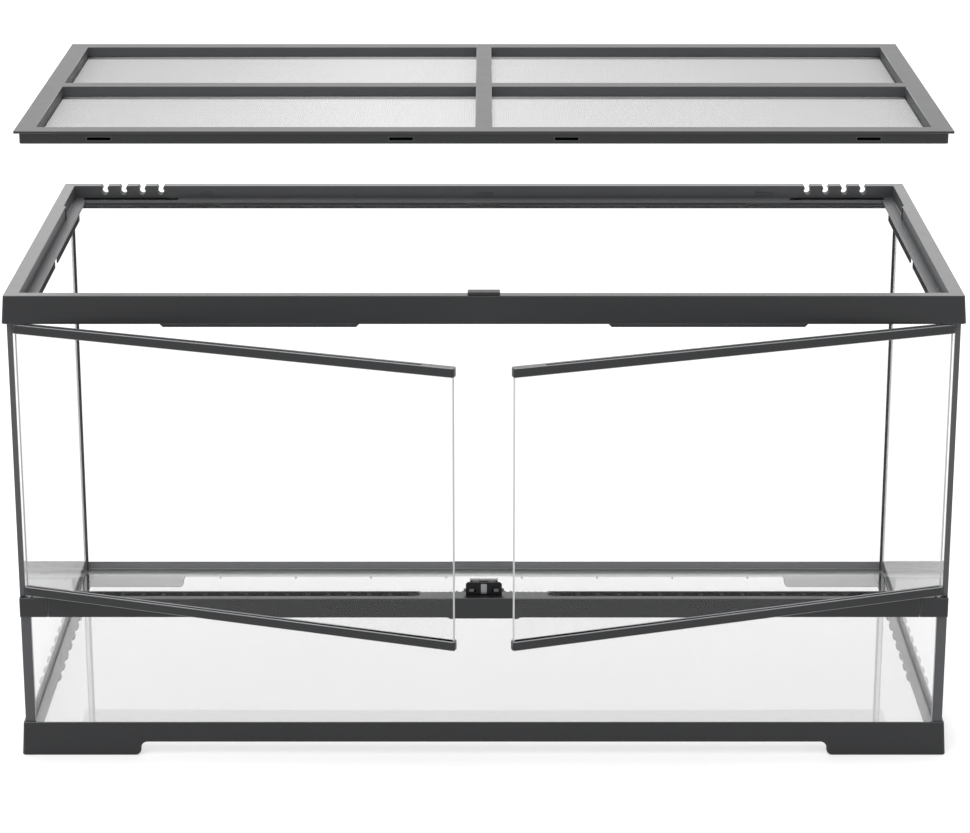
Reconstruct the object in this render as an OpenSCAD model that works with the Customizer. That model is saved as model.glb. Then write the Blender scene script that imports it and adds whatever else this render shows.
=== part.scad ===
// Front-opening glass terrarium with a lift-off screen lid, shown with its doors ajar and its lid raised.
// +X is to the right, +Y to the back and +Z up. The origin is on the floor, under the middle of the
// whole product as it stands here, so the glass body sits a little behind it.

/* [Glass body] */
// Width over the glass
tank_w = 900; // [820:1:1100]
// Depth over the glass
tank_d = 450; // [400:1:600]
// Height to the rim of the top frame
tank_h = 468; // [420:1:600]
// Thickness of the fixed panes
glass_t = 5; // [4:0.5:6]
// Running gap between neighbouring pieces
gap = 0.3; // [0.2:0.05:0.4]
// Leg of the silicone bead in each rear corner
seal_w = 2.4; // [2:0.1:5]
// Width of the black strip on each lower front corner
lower_post_w = 9.5; // [7:0.5:14]
// Setback of the upper corner strips, which lets the doors swing past them
post_setback = 1.5; // [1.5:0.25:2.5]

/* [Frames] */
// Wall of both frames at the thin edge of the skirt
skirt_t = 1.7; // [1.5:0.1:3]
// Taper of both skirts over their height
skirt_draft = 2.3; // [1:0.1:3]
// Height of the base frame
base_h = 34; // [32:1:45]
// Height of the underside of the floor pane
floor_z = 21; // [19:1:24]
// Width of the shelf that carries the floor pane
shelf_w = 14; // [10:1:20]
// Thickness of that shelf
shelf_t = 3; // [2:0.5:4]
// Height of the raised edge between two feet
arch_h = 13.5; // [12:0.5:15]
// Rounding of the feet and of the raised edge
foot_r = 6; // [4:0.5:6]
// Length of each foot along the front and back
foot_w = 113; // [80:1:160]
// Length of each foot along the sides
foot_d = 80; // [60:1:120]
// Number of locating pads along each side shelf
pad_count = 7; // [3:1:9]
// Distance from one locating pad to the next
pad_pitch = 28; // [22:1:34]
// Length of a locating pad
pad_len = 15; // [8:1:20]
// How far a locating pad reaches inwards
pad_reach = 2; // [1:0.5:6]
// Number of stiffening ribs under the front and back shelves
shelf_ribs = 8; // [4:1:12]

/* [Top frame] */
// Height of the top frame
top_h = 27; // [25:1:34]
// Rim's inner edge at the sides, measured in from the glass
rim_side = 11.8; // [11:0.1:16]
// Rim's inner edge at the front and back, measured in from the glass
rim_front = 9.1; // [9:0.1:14]
// Thickness of the rim
rim_t = 2.5; // [2:0.1:3]
// Wall round the lid's recess
recess_wall = 2.5; // [2:0.1:2.6]
// Depth of the lid's recess
recess_h = 13.5; // [12.5:0.1:15]
// Width of the ledge that the lid sits on
ledge_w = 10.2; // [8:0.1:12]
// Thickness of that ledge
ledge_t = 2.6; // [2.2:0.1:6]
// Thickness of the lip under the ledge's inner edge
ledge_lip_t = 1.6; // [1.2:0.1:2.4]
// Depth of that lip along the sides
side_lip_h = 7; // [5:0.5:9]
// Width of the narrow gap in each side lip
side_gap_w = 6; // [4:0.5:10]
// Distance from the front of the glass to the middle of the narrow gap
side_gap_y = 75; // [50:1:100]
// Width of the wide gap in each side lip
side_slot_w = 20; // [12:1:30]
// Distance from the front of the glass to the middle of the wide gap
side_slot_y = 195; // [150:1:240]
// Length without a lip at the back of each side
side_bare = 72; // [40:1:90]
// Depth of the lip along the back
back_lip_h = 3.5; // [2.5:0.5:5]
// What the notches leave of the back lip
notch_left = 1.2; // [0.8:0.1:2]
// Width of the notches in the back lip
notch_w = 36; // [24:1:50]
// Distance from the middle notch to the outer ones
notch_pitch = 301; // [240:1:360]
// Length of the wider bay at the back of each side of the recess
bay_len = 94; // [60:1:120]
// How far the bay steps outwards
bay_out = 2.4; // [1:0.1:3]
// Thickness of the rib that holds the panes from inside
rib_t = 2; // [1.5:0.1:2.5]
// Depth of that rib under the ledge
rib_h = 4; // [3:0.5:6]
// Width of the centring nubs on the back wall of the recess
nub_w = 20; // [12:1:26]
// How far the nubs stand out
nub_out = 1.1; // [0.5:0.1:1.2]
// Height of a nub
nub_h = 3; // [2:0.1:4]
// Length of each door stop under the front of the top frame
stop_w = 194; // [120:1:240]
// Distance from the side of the glass to the middle of each door stop
stop_side = 238; // [190:1:280]
// How far the door stops reach below the top frame
stop_drop = 5.7; // [4:0.1:7]

/* [Cable inlets] */
// Number of inlets at each rear corner
inlet_count = 4; // [2:1:4]
// Distance from one inlet to the next
inlet_pitch = 20; // [18:1:24]
// Distance from the side of the glass to the middle of each row of inlets
inlet_side = 72; // [65:1:120]
// Diameter of an inlet hole
inlet_d = 7; // [5.5:0.1:8]
// Width of the neck above the hole
inlet_neck = 5; // [4.6:0.1:5.5]
// Depth of the hole's centre below the rim
inlet_drop = 6; // [5:0.1:7]
// Length of a shutter
shutter_len = 90; // [88:1:94]
// How far the shutters slide
shutter_travel = 10; // [8:0.5:11]
// Thickness of a shutter's comb
shutter_t = 2; // [1.5:0.1:2.5]
// Diameter of the finger holes in a shutter
shutter_hole_d = 3.5; // [2:0.1:4]
// Wall of the sleeve round each inlet
sleeve_wall = 1.5; // [1:0.1:2]

/* [Vent bar] */
// Height of the bar's underside
bar_z = 144.8; // [120:0.1:180]
// Height of the bar
bar_h = 19.8; // [16:0.1:26]
// How far the bar stands out in front of the glass
bar_front = 3; // [2.5:0.1:3.2]
// Depth of the bar
bar_d = 20.5; // [18:0.1:26]
// Wall of the bar
bar_wall = 2.2; // [1.5:0.1:3]
// Thickness of the bar's top
bar_top_t = 5; // [4:0.1:6]
// Length of each end cap
cap_w = 27; // [20:0.5:40]
// How far the lower front pane goes into the bar
glass_seat = 6; // [4:0.5:7]
// Inner end of each vent, from the centre
vent_in = 62; // [50:1:90]
// Outer end of each vent, from the side of the glass
vent_side = 50; // [45:1:150]
// Width of the vents
vent_w = 12; // [10:0.1:12]
// Thickness of the vent grilles
grille_t = 1.5; // [1:0.1:2]
// How deep the grilles lie in the bar
grille_deep = 2.4; // [1.8:0.1:2.6]
// Number of rows of slots in a grille
grille_rows = 3; // [1:1:3]
// Distance from one row of slots to the next
grille_row_pitch = 2.8; // [2.2:0.1:3]
// Width of a slot in a grille
grille_slot = 1.5; // [1:0.1:1.8]
// Length of a slot in a grille
grille_slot_len = 16; // [8:1:18]
// Distance from one slot to the next along a row
grille_pitch = 20; // [20:1:30]
// Distance from one scallop to the next on the bar's back edge
scallop_pitch = 5.9; // [5:0.1:8]
// Diameter of a scallop
scallop_d = 4.4; // [3:0.1:5]
// Width of the lip under the middle of the bar
lip_w = 69; // [50:1:90]
// Height of that lip
lip_h = 1.5; // [1:0.1:2.5]

/* [Doors] */
// Opening angle of both doors as shown
door_ajar = 19; // [5:1:60]
// Thickness of a door rail
rail_t = 8; // [7:0.1:9]
// Height of a door rail
rail_h = 9; // [8.5:0.1:12]
// Thickness of the door panes
door_glass_t = 4; // [3:0.1:4]
// How far a pane goes into its rail
groove_h = 5; // [4:0.1:5.2]
// Clearance on each side of a pane in its rail
groove_gap = 0.1; // [0.05:0.05:0.2]
// Wall that closes the free end of a rail
rail_end = 1.2; // [0.8:0.1:2]
// Clearance of each door from the middle of the front
door_mid_gap = 2; // [1:0.1:4]
// Gap under the bottom rails
door_under = 2.4; // [1.5:0.1:3]
// Gap above the top rails
door_over = 1; // [0.9:0.1:1.5]
// Height of the raised strip on a top rail
strip_h = 0.6; // [0.3:0.1:0.6]
// Width of that strip
strip_w = 3; // [2:0.1:4]
// Bare end of a top rail, past its strip
strip_bare = 32; // [20:1:50]
// Diameter of the hinge pins
pin_d = 4; // [3:0.1:4.2]
// Radial running clearance of the hinge pins
pin_play = 0.05; // [0.03:0.01:0.1]
// How far a hinge pin goes into the frame
pin_in = 8.5; // [6:0.1:9]
// How far a hinge pin goes into its rail
pin_rail = 3.4; // [2.5:0.1:3.4]
// Diameter of the collar under a bottom rail
collar_d = 6.5; // [5:0.1:7.5]

/* [Latch] */
// Width of the latch's front plate
latch_w = 35; // [30:1:45]
// Height of the latch
latch_h = 13.1; // [11:0.1:16]
// Thickness of the latch's front plate
latch_plate = 6; // [5.5:0.1:7]
// Width of the latch's rear block and of its thumb pad
pad_w = 27; // [22:0.5:30]
// Thickness of the thumb pad
thumb_t = 3; // [2:0.1:4]
// How far the thumb pad slides
thumb_travel = 3; // [2:0.1:3]
// Thickness of the latch's front face, which is wider than what stands behind it
face_t = 2.4; // [2:0.1:3]
// Wall above a catch, under the shoulders behind the front face
shoulder_wall = 1.9; // [1:0.1:3]
// Distance from the side of the front face to the opening that shows a catch
eye_side = 3.2; // [2:0.1:5]
// Distance from the top of the front face to that opening
eye_drop = 3.8; // [3:0.1:6]
// Number of grip ribs on the thumb pad
grip_count = 10; // [6:1:12]
// How far a catch stands out of the latch
catch_out = 2.1; // [1.5:0.1:2.4]
// Length of a catch
catch_len = 10; // [8:0.1:11]
// Height of a catch
catch_h = 3; // [2:0.1:4]
// Thickness of a catch, front to back
catch_t = 2.6; // [2:0.1:3]
// Width of the steel spring strip in the latch's front
spring_w = 6; // [4:0.1:7]
// Thickness of that strip
spring_t = 0.8; // [0.5:0.1:1]
// Depth of a door's keeper hook
hook_d = 2.2; // [1.8:0.1:3]
// Length of the keeper's fixing plate
keeper_plate = 8; // [6:0.1:12]

/* [Lid] */
// How far the lid is raised above its seat
lid_lift = 155; // [40:1:200]
// Height of the lid
lid_h = 13; // [11:0.1:13]
// Gap all round the lid in its recess
lid_gap = 1.5; // [1.3:0.1:3]
// Width of the lid's rim
lid_rim = 19; // [16:0.5:26]
// Thickness of the lid's flange
flange_t = 2.5; // [2:0.1:3]
// How far the flange reaches past the lid's skirt
flange_over = 4.5; // [3:0.1:6]
// Wall of the lid's skirt
lid_wall = 2.5; // [2:0.1:3]
// Wall round the mesh openings
pane_wall = 2; // [1.5:0.1:3]
// Width of the lid's bar that runs from front to back
lid_bar_y = 15.5; // [12:0.5:24]
// Width of the lid's bar that runs from side to side
lid_bar_x = 18; // [12:0.5:26]
// Thickness of the clamp that holds the mesh
clamp_t = 2.2; // [1.5:0.1:3]
// Thickness of the mesh
mesh_t = 0.8; // [0.5:0.1:1.2]
// How far the mesh reaches past the wall round its openings
mesh_grip = 3; // [2:0.1:3.5]
// Number of the mesh's cells along the lid
mesh_cells_x = 6; // [4:2:12]
// Number of the mesh's cells across the lid
mesh_cells_y = 4; // [2:2:6]
// Width of the strands between the cells
mesh_strand = 3; // [1:0.1:5]
// Width of a slot in the lid's front skirt
lid_slot_w = 22; // [14:1:30]
// Height of that slot
lid_slot_h = 2.8; // [2:0.1:4]
// Distance from the end of the lid to the middle of each outer slot
lid_slot_side = 78.7; // [50:0.1:140]
// Distance from the centre to the inner slots
lid_slot_inner = 77; // [50:1:120]
// Width of the lid lock
lock_w = 30.4; // [24:0.1:40]
// Height of the lid lock above the rim
lock_h = 3; // [2:0.1:4]
// How far the lid lock slides
lock_travel = 5; // [3:0.1:5]

/* [Hidden] */

$fn = 32;
black = "#3b3c3e";
dark = "#2a2b2d";
glass_tint = "#dfe8e4";
steel = "#c4c6c8";

// Half sizes of the glass body, and the panes' inner faces
half_w = tank_w / 2;
half_d = tank_d / 2;
pane_x = half_w - glass_t;
pane_y = half_d - glass_t;

// Places along the front and back that keep their distance from the sides
stop_x = half_w - stop_side;
inlet_x = half_w - inlet_side;
vent_out = half_w - vent_side;

// Heights
floor_top = floor_z + glass_t;
bar_top = bar_z + bar_h;
top_z = tank_h - top_h;
ledge_top = tank_h - recess_h;
ledge_z = ledge_top - ledge_t;
rail_low = bar_top + door_under;
rail_high = top_z - door_over - rail_h;

// The lid's recess and the lid in it
open_x = half_w - rim_side;
open_y = half_d - rim_front;
lid_x = open_x - lid_gap;
lid_y = open_y - lid_gap;
lid_z = ledge_top + gap + lid_lift;
window_x = lid_x - lid_rim;
window_y = lid_y - lid_rim;
mesh_z = lid_z + clamp_t;
lid_skirt_x = lid_x - flange_over - lid_wall;
lid_skirt_y = lid_y - flange_over - lid_wall;
lid_slot_outer = lid_x - lid_slot_side;

// Hinge axis of the doors, which clears the corner strips by one gap
hinge_x = pane_x - gap - rail_t / 2;
hinge_y = -half_d + rail_t / 2 - bar_front;
door_len = hinge_x - door_mid_gap;
door_back = hinge_y + rail_t / 2;
pin_hole_d = pin_d + 2 * pin_play;

// The vent bar
bar_y0 = -half_d - bar_front;
bar_y1 = bar_y0 + bar_d;
bar_half = half_w - cap_w - gap / 2;
groove_y0 = -half_d - gap / 2;
groove_y1 = -pane_y + gap / 2;
vent_y = bar_y1 - 1.2 - vent_w / 2;
duct_y0 = groove_y1 + bar_wall;
duct_y1 = bar_y1 - bar_wall;

// The latch, one gap behind the closed doors
latch_y0 = door_back + gap;
latch_y1 = latch_y0 + latch_plate;
catch_y0 = latch_y0 + 1.4;
catch_z = bar_top + 2.9;
hook_y0 = catch_y0 + catch_t + gap;
hook_x = latch_w / 2 + catch_out + 2 * gap;

// The doors ajar reach further forwards than the frames reach back. This puts the origin between the two.
front_reach = -hinge_y + door_len * sin(door_ajar) + rail_t / 2 * cos(door_ajar);
back_reach = half_d + gap + skirt_t + skirt_draft;
mid_y = (front_reach - back_reach) / 2;

// Every piece is drawn about the middle of the glass body and then set in the product's frame.
module placed() translate([0, mid_y, 0]) children();

// A block between two corners
module block(low, high) translate(low) cube(high - low);

// A block repeated on both sides of the middle plane
module both_sides() {
    children();
    mirror([1, 0, 0]) children();
}

// A rectangular ring, given by its outer and inner half sizes
module ring(out, in, z0, z1) {
    difference() {
        block([-out.x, -out.y, z0], [out.x, out.y, z1]);
        block([-in.x, -in.y, z0 - 1], [in.x, in.y, z1 + 1]);
    }
}

// A section swept round a rectangle. The section's x runs outwards from the line at the given half sizes.
module swept(half) {
    for (turn = [0:3]) {
        a = turn % 2 == 0 ? half.x : half.y;
        b = turn % 2 == 0 ? half.y : half.x;
        rotate([0, 0, 90 * turn]) translate([a, b, 0]) {
            rotate([90, 0, 0]) linear_extrude(2 * b) children();
            rotate_extrude(angle = 90) children();
        }
    }
}

// The tapered skirt of both frames, thin at the top
module skirt(z0, z1) {
    swept([half_w + gap, half_d + gap])
        polygon([[0, z0], [skirt_t + skirt_draft, z0], [skirt_t, z1], [0, z1]]);
}

// A rectangle with four round corners
module round_rect(low, high, r) {
    translate([low.x + r, low.y]) square([high.x - low.x - 2 * r, high.y - low.y]);
    translate([low.x, low.y + r]) square([high.x - low.x, high.y - low.y - 2 * r]);
    for (x = [low.x + r, high.x - r], y = [low.y + r, high.y - r]) translate([x, y]) circle(r);
}

// What the raised edge between two feet takes away, in front view
module arch(half_len) {
    r = foot_r;
    translate([-half_len + r, -1]) square([2 * (half_len - r), arch_h + 1]);
    translate([-half_len, -1]) square([2 * half_len, arch_h - r + 1]);
    for (side = [-1, 1]) {
        translate([side * (half_len - r), arch_h - r]) circle(r);
        difference() {
            translate([side > 0 ? half_len : -half_len - r, -1]) square([r, r + 1]);
            translate([side * (half_len + r), r]) circle(r);
        }
    }
}

module base_frame() placed() color(black) {
    inner = [half_w - shelf_w, half_d - shelf_w];
    shelf_z = floor_z - shelf_t;
    rib_reach = shelf_w * 0.7;
    difference() {
        skirt(0, base_h);
        rotate([90, 0, 0]) linear_extrude(2 * tank_d, center = true) arch(half_w - foot_w);
        rotate([90, 0, 90]) linear_extrude(2 * tank_w, center = true) arch(half_d - foot_d);
    }
    ring([half_w + gap, half_d + gap], inner, shelf_z, floor_z);
    both_sides() for (i = [0:pad_count - 1])
        translate([inner.x, (i - (pad_count - 1) / 2) * pad_pitch, shelf_z]) linear_extrude(shelf_t) polygon([
            [1, -pad_len / 2], [0, -pad_len / 2], [-pad_reach, -pad_len / 2 + pad_reach],
            [-pad_reach, pad_len / 2 - pad_reach], [0, pad_len / 2], [1, pad_len / 2]
        ]);
    for (side = [-1, 1], i = [0:shelf_ribs - 1]) {
        x = (i - (shelf_ribs - 1) / 2) * 2 * (half_w - foot_w) / shelf_ribs;
        y = side > 0 ? half_d + gap - rib_reach : -half_d - gap;
        translate([x - rib_t / 2, y, arch_h]) cube([rib_t, rib_reach, shelf_z - arch_h]);
    }
}

module floor_glass() placed() color(glass_tint) {
    block([-half_w, -half_d, floor_z], [half_w, half_d, floor_top]);
}

module back_glass() placed() color(glass_tint) {
    block([-half_w, pane_y, floor_top], [half_w, half_d, ledge_z]);
}

module side_glass(side) placed() color(glass_tint) {
    x = side > 0 ? pane_x : -half_w;
    translate([x, -pane_y, floor_top]) cube([glass_t, 2 * pane_y, ledge_z - floor_top]);
}

module front_glass() placed() color(glass_tint) {
    x = half_w - lower_post_w;
    block([-x, -half_d, floor_top], [x, -pane_y, bar_z + glass_seat]);
}

module corner_seal(side) placed() color(dark) {
    x = side * pane_x;
    translate([0, 0, floor_top]) linear_extrude(ledge_z - rib_h - gap - floor_top)
        polygon([[x, pane_y], [x - side * seal_w, pane_y], [x, pane_y - seal_w]]);
}

module lower_post(side) placed() color(black) {
    x = side > 0 ? half_w - lower_post_w : -half_w;
    translate([x, -half_d, floor_top]) cube([lower_post_w, glass_t, bar_z - floor_top]);
}

module upper_post(side) placed() color(black) {
    x = side > 0 ? pane_x : -half_w;
    y = -half_d + post_setback;
    translate([x, y, bar_top]) cube([glass_t, glass_t - post_setback, ledge_z - bar_top]);
}

// The groove in the bar and its caps that the lower front pane goes into
module pane_groove() {
    x = half_w - lower_post_w + gap;
    block([-x, groove_y0, bar_z - 1], [x, groove_y1, bar_z + glass_seat + gap]);
}

// The round-ended place of one vent, in plan
module vent_plan(side, inset) {
    low = [side > 0 ? vent_in + inset : -vent_out + inset, vent_y - vent_w / 2 + inset];
    high = [side > 0 ? vent_out - inset : -vent_in - inset, vent_y + vent_w / 2 - inset];
    round_rect(low, high, vent_w / 2 - inset - 0.01);
}

module vent_bar() placed() color(black) {
    back_z = bar_z + bar_h / 3;
    under = bar_top - bar_top_t;
    scallops = 2 * floor((vent_in - latch_w / 2) / scallop_pitch) - 1;
    difference() {
        union() {
            rotate([90, 0, 90]) linear_extrude(2 * bar_half, center = true) polygon([
                [bar_y0, bar_z], [bar_y0, bar_top], [bar_y1, bar_top], [bar_y1, back_z],
                [duct_y1, back_z], [duct_y1, under], [duct_y0, under], [duct_y0, bar_z]
            ]);
            translate([0, groove_y0, 0]) rotate([90, 0, 0]) linear_extrude(groove_y0 - bar_y0) polygon([
                [-lip_w / 2, bar_z], [-lip_w / 2 + lip_h, bar_z - lip_h],
                [lip_w / 2 - lip_h, bar_z - lip_h], [lip_w / 2, bar_z]
            ]);
        }
        pane_groove();
        for (side = [-1, 1]) {
            translate([0, 0, bar_top - grille_deep]) linear_extrude(grille_deep + 1) vent_plan(side, 0);
            x = side > 0 ? vent_in + vent_w / 2 : -vent_out + vent_w / 2;
            translate([x, duct_y0, under - 1])
                cube([vent_out - vent_in - vent_w, duct_y1 - duct_y0, bar_top_t + 2]);
            for (i = [0:scallops / 2])
                translate([side * (latch_w / 2 + (i + 1) * scallop_pitch), bar_y1, back_z - 1])
                    cylinder(d = scallop_d, h = bar_h);
        }
    }
}

module vent_cap(side) placed() color(black) {
    inner = half_w - cap_w + gap / 2;
    difference() {
        mirror([side > 0 ? 0 : 1, 0, 0]) {
            block([inner, bar_y0, bar_z], [half_w + gap, -pane_y - gap, bar_top]);
            block([inner, -pane_y - 1, bar_z], [pane_x - gap, bar_y1, bar_top]);
        }
        pane_groove();
        translate([side * hinge_x, hinge_y, bar_top - pin_in - gap])
            cylinder(d = pin_hole_d, h = pin_in + 1);
    }
}

module vent_grille(side) placed() color(dark) {
    count = floor((vent_out - vent_in - vent_w) / grille_pitch);
    difference() {
        translate([0, 0, bar_top - grille_deep]) linear_extrude(grille_t) vent_plan(side, gap / 2);
        for (i = [0:count - 1], row = [0:grille_rows - 1])
            translate([
                side * (vent_in + vent_out) / 2 + (i - (count - 1) / 2) * grille_pitch - grille_slot_len / 2,
                (duct_y0 + duct_y1 - grille_slot) / 2 + (row - (grille_rows - 1) / 2) * grille_row_pitch,
                bar_top - grille_deep - 1
            ]) cube([grille_slot_len, grille_slot, grille_t + 2]);
    }
}

// One cable inlet in front view, centred on its hole, with a flared neck up through the rim
module inlet_profile() {
    neck = inlet_neck / 2;
    circle(d = inlet_d);
    polygon([
        [-neck, 0], [-neck, inlet_drop - neck], [-neck - 1.2, inlet_drop], [-neck - 1.2, inlet_drop + 1],
        [neck + 1.2, inlet_drop + 1], [neck + 1.2, inlet_drop], [neck, inlet_drop - neck], [neck, 0]
    ]);
}

// X of each inlet on one side
function inlet_at(side) =
    [for (i = [0:inlet_count - 1]) side * inlet_x + (i - (inlet_count - 1) / 2) * inlet_pitch];

// Outer end of a shutter in its open place. It slides towards the middle of the tank to close.
shutter_far = inlet_x + (inlet_count - 1) / 2 * inlet_pitch + inlet_pitch + gap + 1.7;
// Top, underside and front of the part of a shutter that lies in the ledge
shutter_top = ledge_top - gap;
shutter_z = ledge_z + gap;
shutter_y = open_y - ledge_w + ledge_lip_t + gap;
// Front and back of the comb that stands behind the recess wall
comb_y0 = pane_y + 0.1;
comb_y1 = comb_y0 + shutter_t;

// What the two shutters' windows take out of the ledge, behind its lip
module shutter_windows() {
    both_sides() block(
        [shutter_far - shutter_len - shutter_travel - gap, shutter_y - gap, ledge_z - 1],
        [shutter_far + gap, pane_y + 1, ledge_top]
    );
}

// The lip that stiffens the ledge's inner edge along the sides and the back
module ledge_lip() {
    lip_in = [open_x - ledge_w, open_y - ledge_w];
    lip_out = lip_in + [ledge_lip_t, ledge_lip_t];
    both_sides() difference() {
        block([lip_in.x, -lip_in.y, ledge_z - side_lip_h], [lip_out.x, half_d - side_bare, ledge_z]);
        translate([0, side_gap_y - half_d - side_gap_w / 2, 0]) cube([tank_w, side_gap_w, tank_h]);
        translate([0, side_slot_y - half_d - side_slot_w / 2, 0]) cube([tank_w, side_slot_w, tank_h]);
    }
    difference() {
        block([-lip_out.x, lip_in.y, ledge_z - back_lip_h], [lip_out.x, lip_out.y, ledge_z]);
        for (i = [-1:1])
            translate([i * notch_pitch - notch_w / 2, 0, 0]) cube([notch_w, tank_d, ledge_z - notch_left]);
    }
}

// Plan of the wider bay at the back of the recess's right side, with a slanted front end
module bay_plan(out, front) {
    polygon([
        [open_x - 1, front], [open_x, front], [open_x + out, front + 2.5 * out],
        [open_x + out, open_y], [open_x - 1, open_y]
    ]);
}

// The sleeves that lead a cable through the top frame on both sides of the comb
module inlet_sleeves() {
    half_len = inlet_d / 2 + sleeve_wall;
    low = tank_h - inlet_drop - half_len;
    for (side = [-1, 1], x = inlet_at(side)) {
        block([x - half_len, open_y, low], [x + half_len, comb_y0 - gap, tank_h - rim_t / 2]);
        block([x - half_len, comb_y1 + gap, low], [x + half_len, half_d + gap + 1, tank_h - rim_t / 2]);
    }
}

module top_frame() placed() color(black) {
    rib = [pane_x - gap, pane_y - gap];
    rib_in = rib - [rib_t, rib_t];
    bay_y = open_y - bay_len;
    difference() {
        union() {
            skirt(top_z, tank_h);
            ring([half_w + gap, half_d + gap], [open_x, open_y], tank_h - rim_t, tank_h);
            ring([open_x + recess_wall, open_y + recess_wall], [open_x, open_y], ledge_top, tank_h);
            difference() {
                ring(rib, [open_x - ledge_w, open_y - ledge_w], ledge_z, ledge_top);
                shutter_windows();
            }
            ring(rib, rib_in, ledge_z - rib_h, ledge_z);
            ledge_lip();
            both_sides() translate([0, 0, ledge_top]) linear_extrude(tank_h - ledge_top)
                bay_plan(bay_out + recess_wall, bay_y - recess_wall);
            inlet_sleeves();
            for (side = [-1, 1]) translate([side * stop_x, -rib_in.y, 0]) rotate([90, 0, 0])
                linear_extrude(rib_t) polygon([
                    [-stop_w / 2, ledge_z], [-stop_w / 2, top_z],
                    [-stop_w / 2 + stop_drop, top_z - stop_drop], [stop_w / 2 - stop_drop, top_z - stop_drop],
                    [stop_w / 2, top_z], [stop_w / 2, ledge_z]
                ]);
            both_sides() block([hinge_x - pin_d * 2, -half_d - gap, top_z], [rib.x, -rib_in.y, ledge_top]);
        }
        both_sides() translate([0, 0, ledge_top]) linear_extrude(tank_h) bay_plan(bay_out, bay_y);
        both_sides() translate([hinge_x, hinge_y, top_z - 1])
            cylinder(d = pin_hole_d, h = pin_in + gap + 1);
        for (side = [-1, 1], x = inlet_at(side))
            translate([x, half_d + top_h, tank_h - inlet_drop]) rotate([90, 0, 0])
                linear_extrude(2 * top_h) inlet_profile();
        lock_slot();
    }
    for (i = [-1:1]) translate([i * notch_pitch - nub_w / 2, open_y, (ledge_top + tank_h - nub_h) / 2])
        rotate([90, 0, 90]) linear_extrude(nub_w)
            polygon([[1, 0], [-nub_out, 0], [-nub_out, 0.8], [1, nub_h]]);
}

module inlet_shutter(side) placed() color(dark) {
    comb_z = tank_h - rim_t - gap - 0.7;
    slot_d = inlet_d + 1;
    slot_z = tank_h - inlet_drop;
    mirror([side > 0 ? 0 : 1, 0, 0]) difference() {
        union() {
            block([shutter_far - shutter_len, comb_y0, shutter_z], [shutter_far, comb_y1, comb_z]);
            block([shutter_far - shutter_len, shutter_y, shutter_z], [shutter_far, comb_y1, shutter_top]);
        }
        for (x = inlet_at(1)) {
            translate([x, pane_y - 1, slot_z]) rotate([-90, 0, 0]) cylinder(d = slot_d, h = shutter_t + 3);
            translate([x - slot_d / 2, pane_y - 1, slot_z]) cube([slot_d, shutter_t + 3, top_h]);
            translate([x - 2, (shutter_y + open_y) / 2, shutter_z - 1])
                cylinder(d = shutter_hole_d, h = ledge_t + 2);
        }
    }
}

// The lid lock's foot and stem, and the slot they slide in
stem_w = 6;
stem_t = 2.5;
foot_over = 3;
stem_y = -half_d + 0.4;
lock_foot_z = tank_h - rim_t - gap - 2.3;

module lock_slot() {
    block([-stem_w / 2 - gap, stem_y - gap, tank_h - rim_t - 1], [stem_w / 2 + gap, -open_y + 1, tank_h + 1]);
    block([-stem_w / 2 - foot_over - gap, stem_y + stem_t + gap, lock_foot_z - gap],
        [stem_w / 2 + foot_over + gap, -open_y + 1, tank_h - rim_t]);
}

module lid_lock() placed() color(dark) {
    y0 = -half_d - gap - skirt_t;
    block([-lock_w / 2, y0, tank_h + gap], [lock_w / 2, -open_y, tank_h + gap + lock_h]);
    block([-stem_w / 2, stem_y, lock_foot_z], [stem_w / 2, stem_y + stem_t, tank_h + gap + 1]);
    block([-stem_w / 2 - foot_over, stem_y, lock_foot_z],
        [stem_w / 2 + foot_over, stem_y + stem_t, tank_h - rim_t - gap]);
}

module latch_base() placed() color(dark) {
    top = bar_top + latch_h;
    rear_top = top - thumb_t - gap;
    notch_z = top - 1.5;
    notch_side = 2.6;
    notch_mid = 9;
    corner_r = 3;
    difference() {
        union() {
            translate([0, latch_y1, 0]) rotate([90, 0, 0]) linear_extrude(latch_plate) {
                round_rect([-latch_w / 2, bar_top + 1], [latch_w / 2, top], corner_r);
                translate([-latch_w / 2, bar_top]) square([latch_w, latch_h / 2]);
            }
            block([-pad_w / 2, latch_y1 - 1, bar_top], [pad_w / 2, bar_y1, rear_top]);
        }
        both_sides() block(
            [latch_w / 2 + catch_out - catch_len - thumb_travel, catch_y0 - gap, catch_z - gap],
            [latch_w, catch_y0 + catch_t + gap, catch_z + catch_h + gap]
        );
        both_sides() {
            block(
                [latch_w / 2 - catch_len, latch_y0 - 1, catch_z - gap],
                [latch_w / 2 - eye_side, catch_y0, top - eye_drop]
            );
            block(
                [pad_w / 2, latch_y0 + face_t, catch_z + catch_h + gap + shoulder_wall],
                [latch_w, latch_y1 + 1, top + 1]
            );
            block([pad_w / 2 - notch_side, latch_y0 + face_t, notch_z], [latch_w, latch_y1 - 1.2, top + 1]);
        }
        block([-notch_mid / 2, latch_y0 + face_t, notch_z], [notch_mid / 2, latch_y1 - 1.2, top + 1]);
        block([-spring_w / 2, latch_y0 - 1, bar_top + 1], [spring_w / 2, latch_y0 + spring_t, top - 1.5]);
        block([-stem_w / 2 - gap, latch_y1 + 1, rear_top - 5], [stem_w / 2 + gap, bar_y1 + 1, top]);
    }
}

module latch_spring() placed() color(steel) {
    block([-spring_w / 2, latch_y0, bar_top + 1], [spring_w / 2, latch_y0 + spring_t, bar_top + latch_h - 1.5]);
}

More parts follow.
